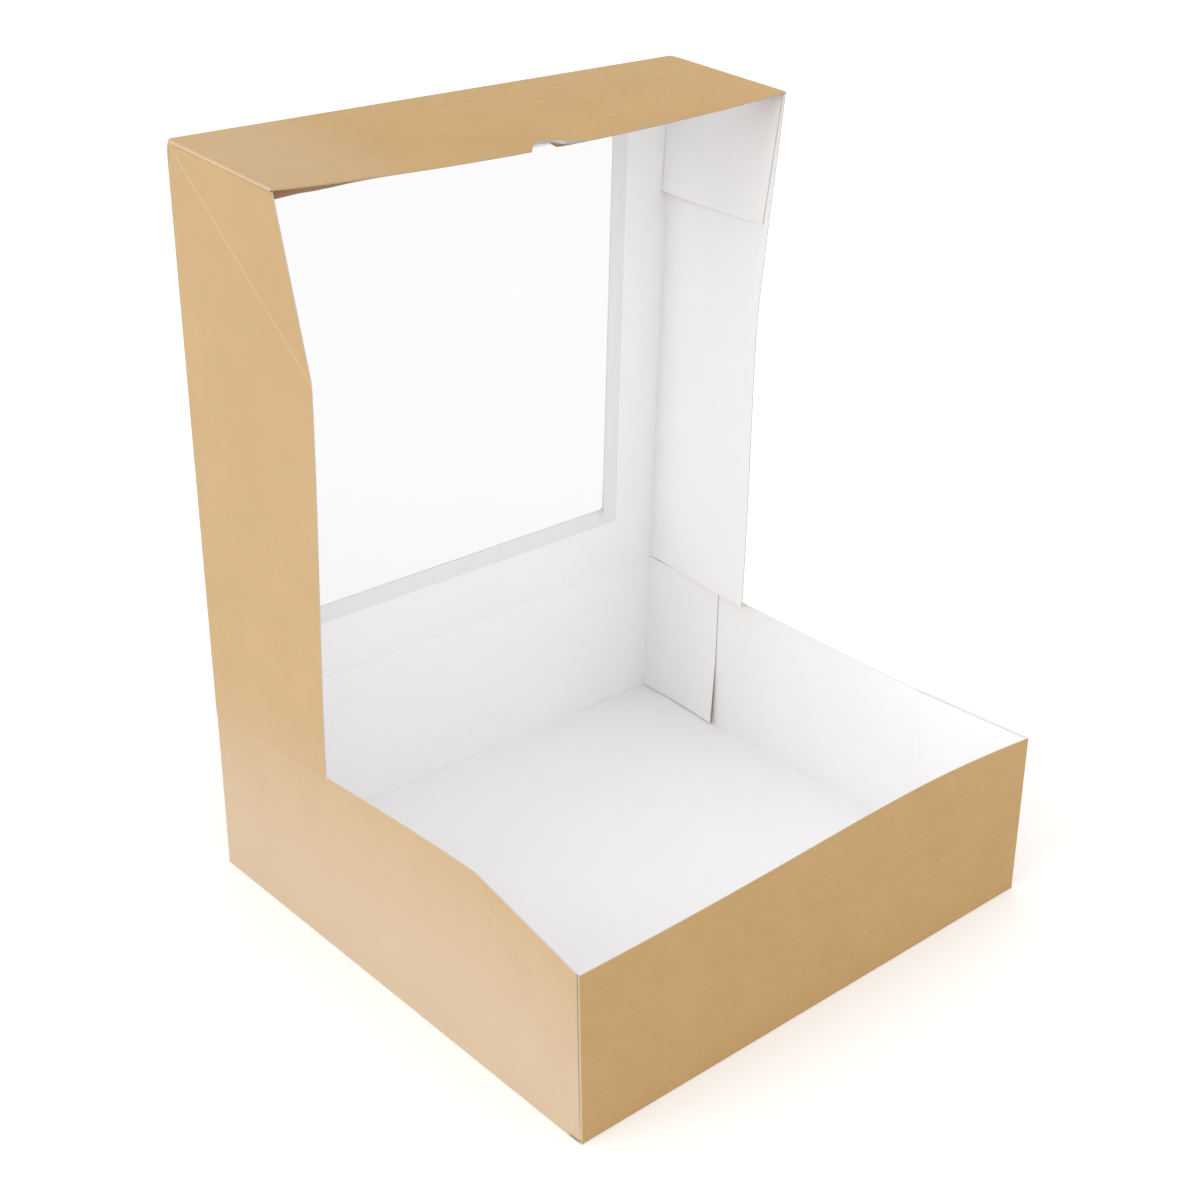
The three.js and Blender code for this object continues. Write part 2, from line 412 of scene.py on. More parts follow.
def kraft_board(name, colour, dark):
    """Kraft board in one brown, with its darker fibres and flecks, and a pale painted sheen."""
    material, tree = new_material(name)
    place = node(tree, "ShaderNodeTexCoord").outputs["Object"]
    # Pulp clouds about 30 mm across
    clouds = node(
        tree,
        "ShaderNodeTexNoise",
        {"Scale": per_length(30 * MM), "Detail": 3, "Roughness": 0.55},
        {"Vector": place},
    )
    # Fibres lie along the making direction. Real ones are 0.05 mm across, and these are drawn
    # about 0.7 mm across, because finer ones don't show.
    grain = node(
        tree, "ShaderNodeMapping", {"Scale": (0.12, 1.0, 1.0)}, {"Vector": place}
    )
    fibres = node(
        tree,
        "ShaderNodeTexNoise",
        {"Scale": per_length(0.7 * MM), "Detail": 4, "Roughness": 0.6},
        {"Vector": grain.outputs["Vector"]},
    )
    # Flecks of darker pulp about 1 mm across
    flecks = node(
        tree,
        "ShaderNodeTexVoronoi",
        {"Scale": per_length(4 * MM), "Randomness": 1.0},
        {"Vector": place},
    )
    fleck = node(
        tree,
        "ShaderNodeMapRange",
        {"From Min": 0.05, "From Max": 0.16, "To Min": 0.28, "To Max": 0.0},
        {"Value": flecks.outputs["Distance"]},
    )
    cloud_share = node(
        tree,
        "ShaderNodeMapRange",
        {"From Min": 0.3, "From Max": 0.7, "To Min": 0.0, "To Max": 0.26},
        {"Value": clouds.outputs["Fac"]},
    )
    fibre_share = node(
        tree,
        "ShaderNodeMapRange",
        {"From Min": 0.35, "From Max": 0.7, "To Min": 0.0, "To Max": 0.3},
        {"Value": fibres.outputs["Fac"]},
    )
    soft = node(
        tree,
        "ShaderNodeMath",
        links={0: cloud_share.outputs["Result"], 1: fibre_share.outputs["Result"]},
        operation="ADD",
    )
    whole = node(
        tree,
        "ShaderNodeMath",
        links={0: soft.outputs["Value"], 1: fleck.outputs["Result"]},
        operation="ADD",
        use_clamp=True,
    )
    tone = node(
        tree,
        "ShaderNodeMix",
        {"A": opaque(colour), "B": opaque(dark)},
        {"Factor": whole.outputs["Value"]},
        data_type="RGBA",
    )
    # Mixes in the pale colour as painted sheen: on low faces to the left, and at the flap's left
    # end
    with_painted_sheen = node(
        tree,
        "ShaderNodeMix",
        {"B": opaque(bpy.context.scene.pastry_box_colours.painted_sheen)},
        {"Factor": painted_sheen_share(tree), "A": tone.outputs["Result"]},
        data_type="RGBA",
    )
    roughness = node(
        tree,
        "ShaderNodeMapRange",
        {"From Min": 0.3, "From Max": 0.7, "To Min": 0.4, "To Max": 0.5},
        {"Value": fibres.outputs["Fac"]},
    )
    bump = node(
        tree,
        "ShaderNodeBump",
        {"Strength": 0.12, "Distance": 0.05 * MM},
        {"Height": fibres.outputs["Fac"]},
    )
    shader = node(
        tree,
        "ShaderNodeBsdfPrincipled",
        {"IOR": 1.5, "Specular IOR Level": 0.05},
        {
            "Base Color": with_painted_sheen.outputs["Result"],
            "Roughness": roughness.outputs["Result"],
            "Normal": bump.outputs["Normal"],
        },
    )
    node(tree, "ShaderNodeOutputMaterial", links={"Surface": shader.outputs["BSDF"]})
    return material


def clay_lining():
    """Bleached pulp lining, clay coated: a smooth cool white with hardly any texture."""
    colours = bpy.context.scene.pastry_box_colours
    material, tree = new_material("white_lining_clay_coated")
    place = node(tree, "ShaderNodeTexCoord").outputs["Object"]
    # The coating lies a little thinner in clouds about 45 mm across.
    clouds = node(
        tree,
        "ShaderNodeTexNoise",
        {"Scale": per_length(45 * MM), "Detail": 3, "Roughness": 0.5},
        {"Vector": place},
    )
    # Brush marks of the coating, about 0.6 mm across
    marks = node(
        tree,
        "ShaderNodeTexNoise",
        {"Scale": per_length(0.6 * MM), "Detail": 3, "Roughness": 0.6},
        {"Vector": place},
    )
    thin = tuple(channel * 0.97 for channel in colours.lining)
    colour = node(
        tree,
        "ShaderNodeMix",
        {"A": opaque(thin), "B": opaque(colours.lining)},
        {"Factor": clouds.outputs["Fac"]},
        data_type="RGBA",
    )
    bump = node(
        tree,
        "ShaderNodeBump",
        {"Strength": 0.05, "Distance": 0.03 * MM},
        {"Height": marks.outputs["Fac"]},
    )
    shader = node(
        tree,
        "ShaderNodeBsdfPrincipled",
        {"IOR": 1.48, "Roughness": 0.48, "Specular IOR Level": 0.4},
        {"Base Color": colour.outputs["Result"], "Normal": bump.outputs["Normal"]},
    )
    node(tree, "ShaderNodeOutputMaterial", links={"Surface": shader.outputs["BSDF"]})
    return material


def cut_edge():
    """Die-cut edge of the board: matt, with the pale lining and the brown plies in fine layers."""
    colours = bpy.context.scene.pastry_box_colours
    material, tree = new_material("board_edge_die_cut")
    place = node(tree, "ShaderNodeTexCoord").outputs["Object"]
    # Torn fibres about 1.5 mm long
    fibres = node(
        tree,
        "ShaderNodeTexNoise",
        {"Scale": per_length(1.5 * MM), "Detail": 4, "Roughness": 0.7},
        {"Vector": place},
    )
    brown = tuple(channel * 0.8 for channel in colours.cut_edge)
    colour = node(
        tree,
        "ShaderNodeMix",
        {"A": opaque(brown), "B": opaque(colours.cut_edge)},
        {"Factor": fibres.outputs["Fac"]},
        data_type="RGBA",
    )
    shader = node(
        tree,
        "ShaderNodeBsdfPrincipled",
        {"Roughness": 0.9, "Specular IOR Level": 0.2},
        {"Base Color": colour.outputs["Result"]},
    )
    node(tree, "ShaderNodeOutputMaterial", links={"Surface": shader.outputs["BSDF"]})
    return material


def clear_film(name, veil):
    """Cast polypropylene film, clear and glossy: it shows only by a faint veil and soft streaks.

    Where it is glued flat to the board, the veil is fainter.
    """
    colours = bpy.context.scene.pastry_box_colours
    material, tree = new_material(name)
    place = node(tree, "ShaderNodeTexCoord").outputs["Object"]
    # The film's thickness changes in long soft waves about 60 mm apart.
    waves = node(
        tree,
        "ShaderNodeTexNoise",
        {"Scale": per_length(60 * MM), "Detail": 2, "Roughness": 0.5},
        {"Vector": place},
    )
    roughness = node(
        tree,
        "ShaderNodeMapRange",
        {"To Min": 0.05, "To Max": 0.14},
        {"Value": waves.outputs["Fac"]},
    )
    bump = node(
        tree,
        "ShaderNodeBump",
        {"Strength": 0.1, "Distance": 0.4 * MM},
        {"Height": waves.outputs["Fac"]},
    )
    shader = node(
        tree,
        "ShaderNodeBsdfPrincipled",
        {"Base Color": opaque(colours.film), "IOR": 1.49, "Alpha": veil},
        {"Roughness": roughness.outputs["Result"], "Normal": bump.outputs["Normal"]},
    )
    node(tree, "ShaderNodeOutputMaterial", links={"Surface": shader.outputs["BSDF"]})
    return material


def board_materials():
    """The board's materials in slot order, each made once.

    A face on the outside has the slot after it on the inside, so the lining follows each kraft.
    """
    makers = (
        ("kraft_board_calendered", kraft_outside),
        ("white_lining_clay_coated", clay_lining),
        ("board_edge_die_cut", cut_edge),
        ("kraft_board_scored_stretch_and_highlight", kraft_fold_stretch_and_highlight),
        ("white_lining_clay_coated", clay_lining),
    )
    return [bpy.data.materials.get(name) or maker() for name, maker in makers]


# Sheets of board


def add_panel(bm, columns, rows, place, outward):
    """Add a grid of faces that point outward. place(column, row) gives each corner's point."""
    grid = [[bm.verts.new(place(u, v)) for v in rows] for u in columns]
    for a, b in zip(grid, grid[1:]):
        for low in range(len(rows) - 1):
            corners = (a[low], b[low], b[low + 1], a[low + 1])
            points = [corner.co for corner in corners]
            normal = (points[2] - points[0]).cross(points[3] - points[1])
            if normal.dot(Vector(outward)) < 0:
                corners = corners[::-1]
            bm.faces.new(corners)


def mark_folds(bm):
    """Weigh the edges where the board turns, so that the bevel rounds them."""
    layer = bm.edges.layers.float.get("bevel_weight_edge") or bm.edges.layers.float.new(
        "bevel_weight_edge"
    )
    bm.normal_update()
    for edge in bm.edges:
        if len(edge.link_faces) != 2:
            continue
        angle = math.degrees(edge.calc_face_angle(0.0))
        if angle > FOLD_ANGLE:
            edge[layer] = FOLD_WEIGHT
        elif angle > SCORE_ANGLE:
            edge[layer] = SCORE_WEIGHT


def board_piece(name, bm, body, nodes, rounding=None):
    """Turn a sheet's outside surface into a piece of board with rounded folds."""
    sizes = bpy.context.scene.pastry_box_sizes
    weld = 0.02 * MM
    bmesh.ops.remove_doubles(bm, verts=bm.verts, dist=weld)
    bmesh.ops.dissolve_degenerate(bm, dist=weld / 2, edges=bm.edges)
    mark_folds(bm)
    for face in bm.faces:
        face.smooth = True
    mesh = bpy.data.meshes.new(name)
    bm.to_mesh(mesh)
    bm.free()
    for material in board_materials():
        mesh.materials.append(material)
    piece = bpy.data.objects.new(name, mesh)
    bpy.context.scene.collection.objects.link(piece)
    bevel = piece.modifiers.new("rounded_folds", "BEVEL")
    bevel.limit_method = "WEIGHT"
    bevel.width = rounding or sizes.fold_round
    bevel.segments = 3
    bevel.use_clamp_overlap = True
    # The rounded folds take the paler kraft, partly a painted highlight
    bevel.material = FOLD_SLOT
    solid = piece.modifiers.new("board", "SOLIDIFY")
    solid.thickness = sizes.board
    solid.offset = -1
    solid.use_even_offset = True
    solid.material_offset = 1
    solid.material_offset_rim = 2
    normals = piece.modifiers.new("flat_panels", "WEIGHTED_NORMAL")
    normals.keep_sharp = True
    if body:
        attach(piece, body)
    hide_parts(*nodes)
    return piece


# The tray


def side_inset(side, distance, height):
    """How far a side wall leans in, at a distance forward of the back and at a height.

    Behind its corner crease the wall is a curved sheet. In front it is a flat triangle.
    """
    sizes = bpy.context.scene.pastry_box_sizes
    lean = sizes.left_lean if side < 0 else sizes.right_lean
    to_knee = max(0.0, 1 - distance / (TRAY_LENGTH - WALL_HEIGHT))
    sheet = lean * (1 - to_knee**WALL_CURVE) * height / WALL_HEIGHT
    along = (lean + sizes.corner_flare) / (WALL_HEIGHT - sizes.front_lean)
    upward = lean / WALL_HEIGHT - along
    return min(sheet, along * (TRAY_LENGTH - distance) + upward * height)


def front_inset(along, height):
    """How far the front wall leans back, along its length from 0 to 1 and at a height."""
    sizes = bpy.context.scene.pastry_box_sizes
    rise = height / WALL_HEIGHT
    skewed = min(1.0, max(0.0, along)) ** FRONT_SKEW
    bow = max(0.0, math.sin(math.pi * skewed))
    return sizes.front_lean * rise + sizes.front_bow * bow * rise * rise


def make_tray():
    """The tray's bottom, four walls and four glue tabs, as one sheet."""
    sizes = bpy.context.scene.pastry_box_sizes
    board = sizes.board
    bm = bmesh.new()
    rim_row = 0.6 * MM
    heights = [height * MM for height in (0, 1, 4, 14, 27, 41, 55, 68, 80)]
    heights += [WALL_HEIGHT - rim_row, WALL_HEIGHT]
    tab_heights = heights[1:-1]
    fold = HALF_WIDTH - board
    across = steps(-fold, fold, COLUMNS_ACROSS)
    # The side walls run from just in front of the back fold to just behind the front wall's fold
    wall_start = 0.8 * MM
    bead = 1.7 * MM
    wall_end = TRAY_LENGTH - bead
    # Behind the knee the columns are even. In front of it they follow the corner crease.
    knee = TRAY_LENGTH - WALL_HEIGHT - 10 * MM
    crease_foot = 1.2 * MM
    sheet = steps(wall_start, knee, 18)
    # The back tabs are glued flat up to this share. Beyond it they stand off the wall, most of
    # all near the bottom, up to a height where they lie flat again.
    glued = 0.35
    lift_low = 4 * MM
    lift_fade = 44 * MM

    def wall_stations(height):
        """Distances forward of the back for the side wall's columns, with one on the crease."""
        crease = TRAY_LENGTH - max(height, crease_foot)
        end = min(wall_end, TRAY_LENGTH - sizes.front_lean * height / WALL_HEIGHT - bead)
        return sheet + steps(knee, crease, 4)[1:] + steps(crease, end, 4)[1:]

    count = len(wall_stations(0)) - 1
    for side in (-1, 1):

        def wall(column, height, side=side):
            distance = wall_stations(height)[column]
            x = side * (HALF_WIDTH - side_inset(side, distance, height))
            return (x, BACK - distance, height)

        add_panel(bm, range(count + 1), heights, wall, (side, 0, 0))

        def back_tab(share, height, side=side):
            distance = share * sizes.back_tab
            free = max(0.0, share - glued) / (1 - glued)
            low = max(0.0, 1 - (height - lift_low) / lift_fade)
            lift = BACK_TAB_LIFT[side] * free**1.5 * low**1.2
            depth = board + SHEET_GAP * min(1.0, share * TAB_COLUMNS) + lift
            x = side * (HALF_WIDTH - side_inset(side, distance, height) - depth)
            return (x, BACK - distance, height)

        add_panel(bm, steps(0, 1, TAB_COLUMNS), tab_heights, back_tab, (side, 0, 0))

        def front_tab(share, height, side=side):
            end = TRAY_LENGTH - sizes.front_lean * height / WALL_HEIGHT
            distance = end - share * sizes.front_tab
            crease = TRAY_LENGTH - height
            behind = max(0.0, crease - distance) / sizes.front_tab
            depth = board + SHEET_GAP + FRONT_TAB_LIFT * behind**1.5
            depth = lerp(board, depth, min(1.0, share * TAB_COLUMNS))
            x = side * (HALF_WIDTH - side_inset(side, distance, height) - depth)
            return (x, BACK - distance, height)

        add_panel(bm, steps(0, 1, TAB_COLUMNS), tab_heights, front_tab, (side, 0, 0))

    back_heights = heights[:-2] + [WALL_HEIGHT - HINGE_REACH]

    def back_wall(x, height):
        return (x, BACK, height)

    add_panel(bm, across, back_heights, back_wall, (0, 1, 0))

    def front_wall(x, height):
        along = (x + fold) / (2 * fold)
        flare = sizes.corner_flare * height / WALL_HEIGHT
        return (x * (1 + flare / fold), -BACK + front_inset(along, height), height)

    add_panel(bm, across, heights, front_wall, (0, -1, 0))
    ys = [BACK] + [BACK - distance for distance in wall_stations(0)] + [-BACK]
    xs = [-HALF_WIDTH] + across + [HALF_WIDTH]
    add_panel(bm, xs, ys, lambda x, y: (x, y, 0), (0, 0, -1))
    board_piece("tray_board", bm, "tray", ["tray"])


def make_hinge():
    """The board at the crease between the back wall and the lid."""
    sizes = bpy.context.scene.pastry_box_sizes
    bm = bmesh.new()
    fold = HALF_WIDTH - sizes.board
    low = WALL_HEIGHT - HINGE_REACH
    high = HINGE.z + HINGE_REACH
    columns = steps(-fold, fold, COLUMNS_ACROSS)
    strip = steps(low, high, 8)
    add_panel(bm, columns, strip, lambda x, z: (x, BACK, z), (0, 1, 0))
    piece = board_piece("hinge_crease", bm, None, ["tray", "lid"])
    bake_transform(piece)


# The lid


def lid_half(height):
    """Half the lid's width across its folds, at a height."""
    foot = HALF_WIDTH + SHEET_GAP
    return lerp(foot, LID_HALF_TOP, (height - LID_FOOT) / (LID_TOP - LID_FOOT))


def corner_ease(distance):
    """How far the box's top corners are rounded back, at a distance from the corner."""
    return CORNER_EASE * max(0.0, 1 - distance / CORNER_REACH) ** 2


def facet_lean(side, distance, height):
    """How far the flat triangle at a lid corner leans in. It stands out a little at the front."""
    outward, inward = FACET_SLOPES[side]
    return inward * (LID_TOP - height) - outward * distance


def crease_width(side, distance):
    """How widely a flange's crease is rounded: the right one more so away from the corner."""
    if side < 0:
        return 0.02 * MM
    return 0.05 * MM + MM * smooth(distance / (60 * MM))


def flange_lean(side, distance, height):
    """How far a lid flange leans in, at a distance forward of the back and at a height."""
    sizes = bpy.context.scene.pastry_box_sizes
    to_knee = max(0.0, 1 - distance / (TRAY_LENGTH - WALL_HEIGHT))
    left_foot = sizes.left_lean * (1 - to_knee**WALL_CURVE)
    foot = left_foot if side < 0 else RIGHT_FOOT_SLOPE * distance
    knee = LID_TOP - sizes.knee_drop
    rise = smooth((height - WALL_HEIGHT) / (knee - WALL_HEIGHT))
    sheet = lerp(foot, KNEE_SLOPE * distance, rise)
    facet = facet_lean(side, distance, height)
    return soft_min(sheet, facet, crease_width(side, distance))


def soft_min(a, b, width):
    """The smaller of two numbers, with the corner between them rounded off."""
    near = max(0.0, 1 - abs(a - b) / (4 * width))
    return min(a, b) - near * near * width


def flange_edge(height):
    """The flange's free edge: full depth up to the knee, and then back to the flap's depth."""
    sizes = bpy.context.scene.pastry_box_sizes
    knee = LID_TOP - sizes.knee_drop
    rise = max(0.0, (height - knee) / sizes.knee_drop)
    return lerp(FLANGE_DEPTH, sizes.flap_depth, rise)


def flap_drop(distance):
    """How far the front flap lies below the lid's top at its corners."""
    sizes = bpy.context.scene.pastry_box_sizes
    return sizes.flap_drop * distance / sizes.flap_depth


def window_edges():
    """Half the window's width, and the heights of its lower and upper edges."""
    sizes = bpy.context.scene.pastry_box_sizes
    half = HALF_WIDTH + PANEL_OVERHANG - sizes.window_margin
    return half, LID_FOOT + sizes.window_low, LID_TOP - sizes.window_high


def make_lid_panel():
    """The back panel with its window, and the turned starts of its folds."""
    sizes = bpy.context.scene.pastry_box_sizes
    bm = bmesh.new()
    half, low, high = window_edges()
    foot = HINGE.z + HINGE_REACH
    turn = FOLD_START
    inner = steps(-half, half, 24)
    # Columns beside the window, as shares of its side margin
    shares = [0] + steps(0.03, 0.85, 5) + [1]

    def panel_half(height):
        return lid_half(height) - corner_ease(LID_TOP - height)

    def column_x(column, height):
        """Columns stand upright across the window, and follow the folds beside it."""
        side = -1 if column < 0 else 1
        size = abs(column)
        if size <= half:
            return column
        share = (size - half) / sizes.window_margin
        return side * lerp(half, panel_half(height), share)

    outer = [half + share * sizes.window_margin for share in shares[1:]]
    columns = [-x for x in reversed(outer)] + inner + outer
    ease_start = LID_TOP - CORNER_REACH
    rows = steps(foot, low, 5)[:-1] + steps(low, high, 20) + steps(high, ease_start, 3)[1:]
    rows += steps(ease_start, LID_TOP, 5)[1:]

    def panel(column, height):
        return (column_x(column, height), BACK, height)

    add_panel(bm, columns, rows, panel, (0, 1, 0))
    hole = [
        face
        for face in bm.faces
        if abs(face.calc_center_median().x) < half and low < face.calc_center_median().z < high
    ]
    bmesh.ops.delete(bm, geom=hole, context="FACES")
    round_window_corners(bm, half, low, high, sizes.window_round)
    for side in (-1, 1):

        def start(share, height, side=side):
            return (side * panel_half(height), BACK - share * turn, height)

        add_panel(bm, [0, 1], rows, start, (side, 0, 0))

    def flap_start(column, share):
        height = LID_TOP - share * flap_drop(turn)
        return (column_x(column, LID_TOP), BACK - share * turn, height)

    add_panel(bm, columns, [0, 1], flap_start, (0, 0, 1))
    board_piece("lid_panel", bm, "lid", ["lid"], PANEL_ROUND)


def round_window_corners(bm, half, low, high, radius):
    """Fill each corner of the square window opening up to its rounding."""
    segments = 5
    for side in (-1, 1):
        for edge, up in ((low, 1), (high, -1)):
            corner = Vector((side * half, BACK, edge))
            centre = corner + Vector((-side * radius, 0, up * radius))
            arc = []
            for index in range(segments + 1):
                angle = math.pi / 2 * index / segments
                offset = Vector((side * math.cos(angle), 0, -up * math.sin(angle)))
                arc.append(bm.verts.new(centre + offset * radius))
            tip = bm.verts.new(corner)
            for a, b in zip(arc, arc[1:]):
                face = bm.faces.new((tip, a, b))
                face.normal_update()
                if face.normal.y < 0:
                    face.normal_flip()


def make_flanges():
    """The lid's two side flanges."""
    sizes = bpy.context.scene.pastry_box_sizes
    start = FOLD_START
    foot = WALL_HEIGHT + RIM_GAP
    # The lean sets in gradually over this distance from the fold
    lean_start = 4 * MM
    shares = steps(0, 1, 20)
    for side, name in ((-1, "lid_flange_left"), (1, "lid_flange_right")):
        bm = bmesh.new()

        def point(share, height, side=side):
            distance = lerp(start, flange_edge(height), share)
            lean = flange_lean(side, distance, height) * smooth(distance / lean_start)
            lean += corner_ease(math.hypot(distance, LID_TOP - height))
            x = side * (lid_half(height) - lean)
            return (x, BACK - distance, height)

        def top_height(share):
            distance = lerp(start, sizes.flap_depth, share)
            return LID_TOP - flap_drop(distance) - sizes.flap_round

        def crease_height(share):
            """The grid has a row along the crease, which falls by slope from the top corner."""
            slope = sizes.knee_drop / FLANGE_DEPTH
            widening = (FLANGE_DEPTH - sizes.flap_depth) * slope * share / sizes.knee_drop
            distance = lerp(start, sizes.flap_depth, share) / (1 - widening)
            return min(top_height(share), LID_TOP - slope * distance)

        def below(share, rise, side=side):
            return point(share, lerp(foot, crease_height(share), rise), side)

        def above(share, rise, side=side):
            low = crease_height(share)
            return point(share, max(low, lerp(low, top_height(share), rise)), side)

        add_panel(bm, shares, steps(0, 1, 24), below, (side, 0, 0))
        add_panel(bm, shares[1:], steps(0, 1, 6), above, (side, 0, 0))
        piece = board_piece(name, bm, "lid", ["lid"])
        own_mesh(piece)


def tab_lean(side, distance, height):
    """The lid's glue tabs stay nearer to the corner triangle's plane than the flange does."""
    flange = flange_lean(side, distance, height)
    return lerp(flange, max(flange, facet_lean(side, distance, height)), TAB_STIFFNESS)


def make_lid_tabs():
    """The flap's two glue tabs, inside the flanges."""
    sizes = bpy.context.scene.pastry_box_sizes
    board = sizes.board
    # The tabs start just in front of the panel, and end just behind the flap's free edge.
    back = 0.7 * MM
    front = sizes.flap_depth - 1.2 * MM
    foot = LID_TOP - LID_TAB_DEPTH
    for side, name in ((-1, "lid_tab_left"), (1, "lid_tab_right")):
        bm = bmesh.new()

        def point(share, fall, side=side):
            distance = lerp(back, front, share)
            top = LID_TOP - flap_drop(distance) - sizes.flap_round
            height = lerp(top, foot, fall)
            lean = tab_lean(side, distance, height)
            x = side * (lid_half(height) - lean - board - SHEET_GAP)
            return (x, BACK - distance, height)

        add_panel(bm, steps(0, 1, TAB_COLUMNS), steps(0, 1, 12), point, (side, 0, 0))
        piece = board_piece(name, bm, "lid", ["lid"])
        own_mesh(piece)


def notch_depth(x):
    """Depth of the thumb notch in the flap's free edge."""
    for (x0, y0), (x1, y1) in zip(NOTCH, NOTCH[1:]):
        if x0 * MM <= x <= x1 * MM:
            return lerp(y0, y1, (x / MM - x0) / (x1 - x0)) * MM
    return 0.0


def lip_angle(along):
    """How far the folded lip springs open below the flap, along its length from 0 to 1."""
    for (a, first), (b, last) in zip(LIP_ANGLES, LIP_ANGLES[1:]):
        if along <= b:
            return math.radians(lerp(first, last, smooth((along - a) / (b - a))))
    return math.radians(LIP_ANGLES[-1][1])


def make_flap():
    """The lid's front flap with its thumb notch, and the lip folded back under it."""
    sizes = bpy.context.scene.pastry_box_sizes
    bm = bmesh.new()
    start = FOLD_START
    depth = sizes.flap_depth
    half = LID_HALF_TOP
    xs = sorted({round(x, 6) for x in steps(-half, half, 36)} | {x * MM for x, y in NOTCH})

    def end_x(x, distance):
        """The flap's ends follow the flanges, which splay a little towards the free edge."""
        return x * (1 + (FLAP_SPLAY * distance - corner_ease(distance)) / half)

    def sag(x, distance):
        """The flap sags most between its ends, and more and more towards its free edge."""
        along = (x + half) / (2 * half)
        across = math.sin(math.pi * along) ** 0.8 if 0 < along < 1 else 0.0
        return sizes.flap_sag * across * (distance / depth) ** 1.4

    def surface(x, distance):
        height = LID_TOP - flap_drop(distance) - sag(x, distance)
        return Vector((end_x(x, distance), BACK - distance, height))

    def flap(x, share):
        return surface(x, lerp(start, depth - notch_depth(x), share))

    # Rows lie closer together near the fold
    flap_rows = steps(0, 0.05, 4) + steps(0.05, 1, 10)[1:]
    add_panel(bm, xs, flap_rows, flap, (0, 0, 1))
    # The board turns down at the flap's ends by a little more than the fold's rounding
    turned_depth = sizes.flap_round + 0.1 * MM
    for side in (-1, 1):

        def turned(share, fall, side=side):
            distance = lerp(start, depth, share)
            fall *= turned_depth
            point = surface(side * half, distance) - Vector((0, 0, fall))
            eased = corner_ease(distance) - corner_ease(math.hypot(distance, fall))
            return point + Vector((side * eased, 0, 0))

        add_panel(bm, flap_rows, [0, 1], turned, (side, 0, 0))
    flap_piece = board_piece("lid_flap", bm, "lid", ["lid"], sizes.flap_round)

    lip = bmesh.new()
    # The lip is a little shorter than the flap, and its last columns keep clear of its ends
    lip_half = half - 1.2 * MM
    clear = 0.5 * MM
    lip_xs = [-lip_half] + [x for x in xs if abs(x) < lip_half - clear] + [lip_half]
    # The lip's fold lies this far behind the flap's edge, and bulges by this share of a half round
    set_back = 0.25 * MM
    bulge = 0.8

    def lip_surface(x, share):
        reach = lerp(LIP_NOTCH * notch_depth(x), sizes.lip_depth, share)
        edge = surface(x, depth)
        turn = lip_angle((x + half) / (2 * half)) - math.atan2(sizes.flap_drop, depth)
        base = Vector((0, set_back, -2 * sizes.board - 2 * SHEET_GAP))
        point = edge + base + Vector((0, math.cos(turn), -math.sin(turn))) * reach
        # Its ends stay inside the flanges and the tabs
        side = -1 if x < 0 else 1
        lean = facet_lean(side, BACK - point.y, point.z)
        limit = lid_half(point.z) - lean - 3 * sizes.board
        point.x = side * min(side * point.x, limit)
        return point

    add_panel(lip, lip_xs, steps(0, 1, 4), lip_surface, (0, -0.5, -1))

    def lip_turn(x, share):
        edge = surface(x, depth)
        angle = math.pi * share
        middle = edge + Vector((0, set_back, -sizes.board - SHEET_GAP))
        reach = sizes.board + SHEET_GAP
        return middle + Vector((0, -math.sin(angle) * bulge * reach, math.cos(angle) * reach))

    hair = 1e-6
    for first, last in ((-lip_half, NOTCH[0][0] * MM), (NOTCH[-1][0] * MM, lip_half)):
        part = [x for x in lip_xs if first - hair <= x <= last + hair]
        add_panel(lip, part, steps(0, 1, 6), lip_turn, (0, -1, 0))
    lip_piece = board_piece("lid_lip", lip, "lid", ["lid"])
    # The lip's outside takes a darker brown, painted as shade
    lip_piece.data.materials[0] = kraft_lip_painted_shade()
    for piece in (flap_piece, lip_piece):
        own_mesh(piece)


def make_film():
    """The clear film, glued to the panel round the window and slightly wavy inside it."""
    sizes = bpy.context.scene.pastry_box_sizes
    bm = bmesh.new()
    half, low, high = window_edges()
    depth = BACK - sizes.board - FILM_GAP
    # The film gets its full waviness this far inside the window's edges
    taut = 25 * MM
    waves_across, waves_up = FILM_WAVES

    def point(x, height):
        edge = min(half - abs(x), height - low, high - height)
        free = smooth(edge / taut)
        wave = noise.noise(Vector((x * waves_across, 0.3, height * waves_up)))
        return (x, depth - sizes.film_wave * free * (1 + wave), height)

    xs = [FILM_LOW.x] + steps(-half, half, 46) + [FILM_HIGH.x]
    zs = [FILM_LOW.z] + steps(low, high, 46) + [FILM_HIGH.z]
    add_panel(bm, xs, zs, point, (0, 1, 0))
    for face in bm.faces:
        face.smooth = True
        middle = face.calc_center_median()
        free = abs(middle.x) < half and low < middle.z < high
        face.material_index = 0 if free else 1
    mesh = bpy.data.meshes.new("film")
    bm.to_mesh(mesh)
    bm.free()
    mesh.materials.append(clear_film("polypropylene_film_cast", FREE_VEIL))
    mesh.materials.append(clear_film("polypropylene_film_glued", GLUED_VEIL))
    piece = bpy.data.objects.new("film", mesh)
    bpy.context.scene.collection.objects.link(piece)
    solid = piece.modifiers.new("film", "SOLIDIFY")
    solid.thickness = FILM_THICKNESS
    solid.offset = -1
    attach(piece, "lid")
    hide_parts("window_film")


# The stage


def seen_directly(tree):
    """1 for rays that show the background itself, straight, mirrored or through film, else 0."""
    path = node(tree, "ShaderNodeLightPath")
    first = node(
        tree,
        "ShaderNodeMath",
        links={0: path.outputs["Is Camera Ray"], 1: path.outputs["Is Glossy Ray"]},
        operation="MAXIMUM",
    )
    return node(
        tree,
        "ShaderNodeMath",
        links={0: first.outputs["Value"], 1: path.outputs["Is Transmission Ray"]},
        operation="MAXIMUM",
    ).outputs["Value"]


